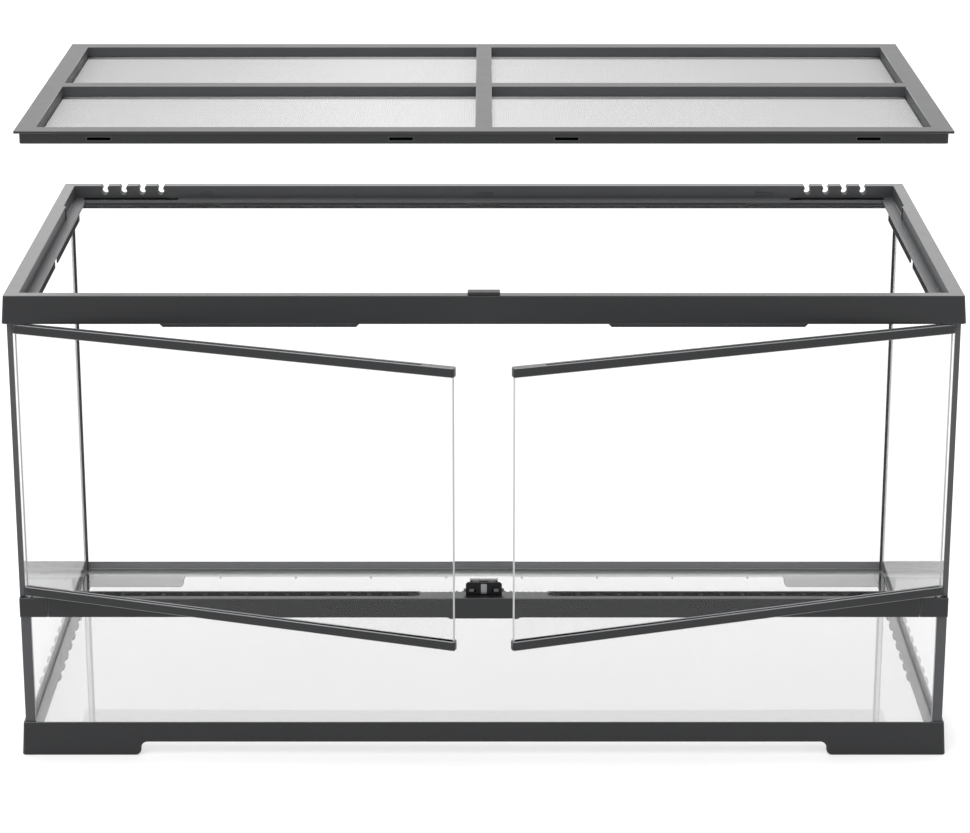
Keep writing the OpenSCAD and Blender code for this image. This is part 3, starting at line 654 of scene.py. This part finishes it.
class TERRARIUM_OT_finishes(bpy.types.Operator):
    """Makes the materials"""

    bl_idname = "terrarium.finishes"
    bl_label = "Finishes"

    def execute(self, context):
        settings = context.scene.terrarium
        # Injection-moulded ABS with a satin grain: near black, but grey where it mirrors the room
        FINISHES["black_abs"] = moulded_plastic(
            "black_abs_satin_moulded", settings.plastic_colour, linear("#232426"), 0.38, 0.9
        )
        # Its rounded edges get a painted highlight: a paler colour that stands in for the thin line
        # of light they catch
        FINISHES["black_edge_highlight"] = moulded_plastic(
            "black_abs_painted_highlight_edge", linear("#4a4b4d"), linear("#525355"), 0.2, 0.9
        )
        # The rails' edges get a brighter painted highlight still, for the line of light along their
        # rounded edges
        FINISHES["rail_edge_highlight"] = moulded_plastic(
            "black_abs_rail_painted_highlight", linear("#97989a"), linear("#a3a4a6"), 0.2, 0.9
        )
        # The same plastic, moulded smoother for the small working parts
        FINISHES["dark_abs"] = moulded_plastic(
            "dark_abs_smooth_moulded", linear("#121213"), linear("#161617"), 0.35, 0.6
        )
        # Coarser grain on the inner walls, painted paler: painted light for the light that reaches
        # them in the recess
        FINISHES["inner_lit_abs"] = moulded_plastic(
            "black_abs_coarse_painted_light_inside", linear("#4a4b4d"), linear("#505153"), 0.5, 1.4
        )
        # The ledge under the lid, painted paler: painted light for the light that its top and edge
        # catch
        FINISHES["ledge_lit_abs"] = moulded_plastic(
            "black_abs_painted_light_ledge", linear("#5c5d60"), linear("#636467"), 0.45, 1.4
        )
        # The top frame's flat rim, polished by the lamp hoods that stand on it
        FINISHES["rim_abs"] = moulded_plastic(
            "black_abs_polished_rim",
            settings.plastic_colour,
            linear("#232426"),
            0.36,
            0.9,
            polish=0.45,
        )
        # The shelf under the floor pane, painted pale: painted light for the light that the pane
        # leads to it
        FINISHES["shelf_lit_abs"] = moulded_plastic(
            "abs_shelf_painted_light", linear("#d2d3d4"), linear("#d8d9da"), 0.5, 1.4
        )
        # The wall behind the floor pane, painted paler with the same painted light
        FINISHES["sill_lit_abs"] = moulded_plastic(
            "abs_sill_painted_light", linear("#868789"), linear("#8d8e90"), 0.5, 1.4
        )
        # The latch's body and the mesh's dipped rim: the blackest plastic, with little gloss
        FINISHES["latch_abs"] = moulded_plastic(
            "jet_abs_matt_moulded", linear("#0c0c0d"), linear("#101011"), 0.42, 0.6, 0.25
        )
        # The ledge's thin lip, painted near black: painted shade for the shade that it lies in
        FINISHES["lip_shade_abs"] = moulded_plastic(
            "black_abs_painted_shade_lip", linear("#0c0c0d"), linear("#0f0f10"), 0.7, 1.4, 0.1
        )
        # Extruded corner strips of a softer, paler plastic
        FINISHES["strip_abs"] = moulded_plastic(
            "charcoal_abs_extruded", linear("#4e4f52"), linear("#545558"), 0.4, 0.9
        )
        # The rails' tops, rubbed smooth by hands and painted paler: painted light for the light that
        # falls on them from above
        FINISHES["rail_top_lit"] = moulded_plastic(
            "black_abs_painted_light_top", linear("#6a6b6e"), linear("#707174"), 0.24, 0.9
        )
        # The vents' slats, with a coarse grain, painted darker: painted shade for the shade in their
        # slots
        FINISHES["vent_shade_abs"] = moulded_plastic(
            "black_abs_painted_shade_slats", linear("#101011"), linear("#141415"), 0.6, 1.2, 0.1
        )
        # Mid-grey ABS of the ribbed thumb pad and the catches
        FINISHES["grey_abs"] = moulded_plastic(
            "grey_abs_ribbed_moulded", linear("#6f7073"), linear("#7b7c7f"), 0.42, 0.7
        )
        FINISHES["silicone"] = silicone()
        FINISHES["glass"] = float_glass(
            "clear_float_glass", settings.glass_tint, linear("#f8f8f8")
        )
        # The floor pane is seen at a slant, and its grey tint is painted shade for the tank's shadow
        # on the floor below it
        FINISHES["floor_glass"] = float_glass(
            "float_glass_floor_painted_shade", linear("#cccccc"), linear("#cacaca")
        )
        FINISHES["ground"] = ground_edge(
            "glass_edge_ground", linear("#cfd3d1"), linear("#dde0df")
        )
        # The floor and back panes' edges are bedded in the base frame, and painted darker grey: a
        # painted reflection of the frame that shows in them
        FINISHES["bedded_reflection"] = ground_edge(
            "glass_edge_painted_reflection", linear("#8a8b8c"), linear("#929394")
        )
        # Cold-drawn stainless pins and rolled spring strip
        FINISHES["steel"] = bright_steel(
            "stainless_steel_drawn", linear("#808183"), 0.28, (1, 1, 0.05)
        )
        # Woven stainless wire, whose drawn surface is bright but too thin to mirror anything
        FINISHES["wire"] = bright_steel("stainless_wire_woven", linear("#c0c0c1"), 0.42, (1, 1, 1))
        return {"FINISHED"}


class TERRARIUM_OT_mouldings(bpy.types.Operator):
    """Gives every moulded part its rounded edges and its plastic"""

    bl_idname = "terrarium.mouldings"
    bl_label = "Mouldings"

    def execute(self, context):
        for node, body, finish, edge, slot, radius in MOULDINGS:
            shape = clean_copy(node)
            if node == "base_frame":
                cut_across(shape, (0, SHELF_BACK, 0), (0, 1, 0))
                cut_across(shape, (0, 0, FLOOR_MM / 1000), (0, 0, 1))
            if node == "top_frame":
                raise_back_skirt(shape)
                cut_across(shape, (0, 0, LEDGE_MM / 1000), (0, 0, 1))
            soften_edges(shape, radius / 1000, 1)
            finishes = [finish, edge]
            for inner, where in FACE_FINISHES.get(node, ()):
                for face in shape.faces:
                    at = face.calc_center_median() * 1000
                    if face.material_index == 0 and where(at, face.normal):
                        face.material_index = len(finishes)
                finishes.append(inner)
            finish_piece(shape, f"{node}_moulding", finishes, body, node)
        return {"FINISHED"}


class TERRARIUM_OT_glazing(bpy.types.Operator):
    """Cuts the panes, with a ground arris on each edge"""

    bl_idname = "terrarium.glazing"
    bl_label = "Glazing"

    def execute(self, context):
        arris = context.scene.terrarium.pane_arris
        for node, body, clear, edge in PANES:
            pane = clean_copy(node)
            if node == "floor_glass":
                low = min(vert.co.z for vert in pane.verts)
                under = [vert for vert in pane.verts if vert.co.z < low + SAME_LEVEL]
                bmesh.ops.translate(pane, verts=under, vec=(0, 0, FLOOR_AIR))
            bmesh.ops.bevel(
                pane,
                geom=pane.edges,
                offset=arris,
                offset_type="OFFSET",
                segments=1,
                profile=0.5,
                affect="EDGES",
                material=-1,
            )
            # The two large faces stay clear, and all the narrow ones are ground
            for face in sorted(pane.faces, key=lambda face: face.calc_area())[:-2]:
                face.material_index = 1
            finish_piece(pane, f"{node}_pane", (clear, edge), body, node)
        for node in ("corner_seal_left", "corner_seal_right"):
            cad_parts[node].data.materials.clear()
            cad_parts[node].data.materials.append(FINISHES["silicone"])
        return {"FINISHED"}


class TERRARIUM_OT_metal(bpy.types.Operator):
    """Finishes the hinge pins and the latch's spring strip"""

    bl_idname = "terrarium.metal"
    bl_label = "Pins and spring"

    def execute(self, context):
        for node, body in STEEL_PIECES:
            shape = clean_copy(node)
            soften_edges(shape, STEEL_EDGE, 0)
            finish_piece(shape, f"{node}_steel", ("steel",), body, node)
        return {"FINISHED"}


class TERRARIUM_OT_lid_mesh(bpy.types.Operator):
    """Weaves the lid's wire mesh as two layers of straight wires in a thin rim"""

    bl_idname = "terrarium.lid_mesh"
    bl_label = "Lid mesh"

    def execute(self, context):
        settings = context.scene.terrarium
        low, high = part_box("lid_mesh")
        middle = (low + high) / 2
        size = high - low
        cloth = bmesh.new()
        for across in (0, 1):
            along = 1 - across
            count = int(size[across] / settings.wire_pitch)
            turn = Matrix.Rotation(math.pi / 2, 4, "Y" if along == 0 else "X")
            offset = settings.wire_diameter / 2 * (1 if along == 0 else -1)
            for i in range(count):
                place = Vector(middle)
                place[across] += (i - (count - 1) / 2) * settings.wire_pitch
                place.z += offset
                bmesh.ops.create_cone(
                    cloth,
                    cap_ends=True,
                    segments=6,
                    radius1=settings.wire_diameter / 2,
                    radius2=settings.wire_diameter / 2,
                    depth=size[along],
                    matrix=Matrix.Translation(place) @ turn,
                )
        for face in cloth.faces:
            face.smooth = True
        # The dipped rim, as four bars that meet at the corners
        wide = Vector((size.x, MESH_RIM, size.z))
        deep = Vector((MESH_RIM, size.y - 2 * MESH_RIM, size.z))
        for side in (-1, 1):
            for bar, shift in (
                (wide, (0, side * (size.y - MESH_RIM) / 2, 0)),
                (deep, (side * (size.x - MESH_RIM) / 2, 0, 0)),
            ):
                matrix = Matrix.Translation(middle + Vector(shift)) @ Matrix.Diagonal((*bar, 1))
                made = bmesh.ops.create_cube(cloth, size=1, matrix=matrix)
                for face in {face for vert in made["verts"] for face in vert.link_faces}:
                    face.material_index = 1
        finish_piece(
            cloth, "lid_wire_mesh", ("wire", "latch_abs"), "lid", "lid_mesh"
        )
        return {"FINISHED"}


def seen_rays(tree):
    """The light path node, and whether a ray comes from the camera, through glass or a mirror."""
    path = add_node(tree, "ShaderNodeLightPath")
    direct = add_node(
        tree,
        "ShaderNodeMath",
        links={0: (path, "Is Camera Ray"), 1: (path, "Is Transmission Ray")},
        operation="MAXIMUM",
    )
    seen = add_node(
        tree,
        "ShaderNodeMath",
        links={0: (direct, "Value"), 1: (path, "Is Glossy Ray")},
        operation="MAXIMUM",
    )
    return path, seen


def studio_paper():
    """Matt white paper: the glow that is seen of it lifts its lit part to white."""
    material, tree, output = new_material("white_studio_paper")
    path, seen = seen_rays(tree)
    paper = add_node(tree, "ShaderNodeBsdfDiffuse", {"Color": linear("#e6e6e6")})
    lift = add_node(
        tree, "ShaderNodeMath", {1: PAPER_GLOW}, {0: (seen, "Value")}, operation="MULTIPLY"
    )
    glow = add_node(
        tree, "ShaderNodeEmission", {"Color": (1, 1, 1, 1)}, {"Strength": (lift, "Value")}
    )
    both = add_node(
        tree, "ShaderNodeAddShader", links={0: (paper, "BSDF"), 1: (glow, "Emission")}
    )
    # Through glass the paper looks evenly lit, with only a trace of the shadows on it
    even = add_node(tree, "ShaderNodeEmission", {"Color": (1, 1, 1, 1), "Strength": EVEN_GLOW})
    share = add_node(
        tree,
        "ShaderNodeMath",
        {1: EVEN_SHARE},
        {0: (path, "Is Transmission Ray")},
        operation="MULTIPLY",
    )
    shown = add_node(
        tree,
        "ShaderNodeMixShader",
        links={"Fac": (share, "Value"), 1: (both, "Shader"), 2: (even, "Emission")},
    )
    tree.links.new(shown.outputs["Shader"], output.inputs["Surface"])
    return material


def white_world():
    """A white world that is seen brighter than it lights."""
    world = bpy.data.worlds.new("white_studio")
    world.use_nodes = True
    tree = world.node_tree
    tree.nodes.clear()
    _, seen = seen_rays(tree)
    strength = add_node(
        tree,
        "ShaderNodeMapRange",
        {"To Min": WORLD_LIGHT, "To Max": WORLD_SEEN},
        {"Value": (seen, "Value")},
    )
    background = add_node(
        tree,
        "ShaderNodeBackground",
        {"Color": (1, 1, 1, 1)},
        {"Strength": (strength, "Result")},
    )
    add_node(tree, "ShaderNodeOutputWorld", links={"Surface": (background, "Background")})
    return world


class TERRARIUM_OT_stage(bpy.types.Operator):
    """Builds the white studio: floor, world, lamps and camera"""

    bl_idname = "terrarium.stage"
    bl_label = "Studio"

    def execute(self, context):
        scene = context.scene
        scene.view_settings.view_transform = "Standard"

        floor_shape = bmesh.new()
        bmesh.ops.create_grid(
            floor_shape, x_segments=1, y_segments=1, size=scene.terrarium.floor_size / 2
        )
        floor_mesh = bpy.data.meshes.new("studio_floor")
        floor_shape.to_mesh(floor_mesh)
        floor_shape.free()
        floor_mesh.materials.append(studio_paper())
        floor = bpy.data.objects.new("studio_floor", floor_mesh)
        floor.location.z = -PAPER_DROP
        scene.collection.objects.link(floor)

        scene.world = white_world()

        for name, power, angle, turn in SOFTBOXES:
            lamp = bpy.data.lights.new(name, "SUN")
            lamp.energy = power
            lamp.angle = math.radians(angle)
            lamp_object = bpy.data.objects.new(name, lamp)
            lamp_object.rotation_euler = [math.radians(a) for a in turn]
            scene.collection.objects.link(lamp_object)

        camera = bpy.data.cameras.new("camera")
        camera.sensor_width = SENSOR_MM
        camera.lens = FOCAL_PX / RENDER_PX * SENSOR_MM
        camera_object = bpy.data.objects.new("camera", camera)
        camera_object.location = CAMERA_PLACE
        camera_object.rotation_euler = (math.pi / 2 - CAMERA_PITCH, 0, 0)
        scene.collection.objects.link(camera_object)
        scene.camera = camera_object
        return {"FINISHED"}


class TERRARIUM_PT_panel(bpy.types.Panel):
    """Lists the settings and the steps in the sidebar"""

    bl_idname = "TERRARIUM_PT_panel"
    bl_label = "Terrarium"
    bl_space_type = "VIEW_3D"
    bl_region_type = "UI"
    bl_category = "Terrarium"

    def draw(self, context):
        settings = context.scene.terrarium
        for name in TerrariumSettings.__annotations__:
            self.layout.prop(settings, name)
        for step in STEPS:
            self.layout.operator(step.bl_idname)


STEPS = (
    TERRARIUM_OT_finishes,
    TERRARIUM_OT_mouldings,
    TERRARIUM_OT_glazing,
    TERRARIUM_OT_metal,
    TERRARIUM_OT_lid_mesh,
    TERRARIUM_OT_stage,
)
CLASSES = (TerrariumSettings, *STEPS, TERRARIUM_PT_panel)


def register():
    for made in CLASSES:
        bpy.utils.register_class(made)
    bpy.types.Scene.terrarium = bpy.props.PointerProperty(type=TerrariumSettings)


def unregister():
    del bpy.types.Scene.terrarium
    for made in reversed(CLASSES):
        bpy.utils.unregister_class(made)


def main():
    register()
    bpy.ops.terrarium.finishes()
    bpy.ops.terrarium.mouldings()
    bpy.ops.terrarium.glazing()
    bpy.ops.terrarium.metal()
    bpy.ops.terrarium.lid_mesh()
    bpy.ops.terrarium.stage()
    bpy.context.view_layer.update()


if __name__ == "__main__":
    main()
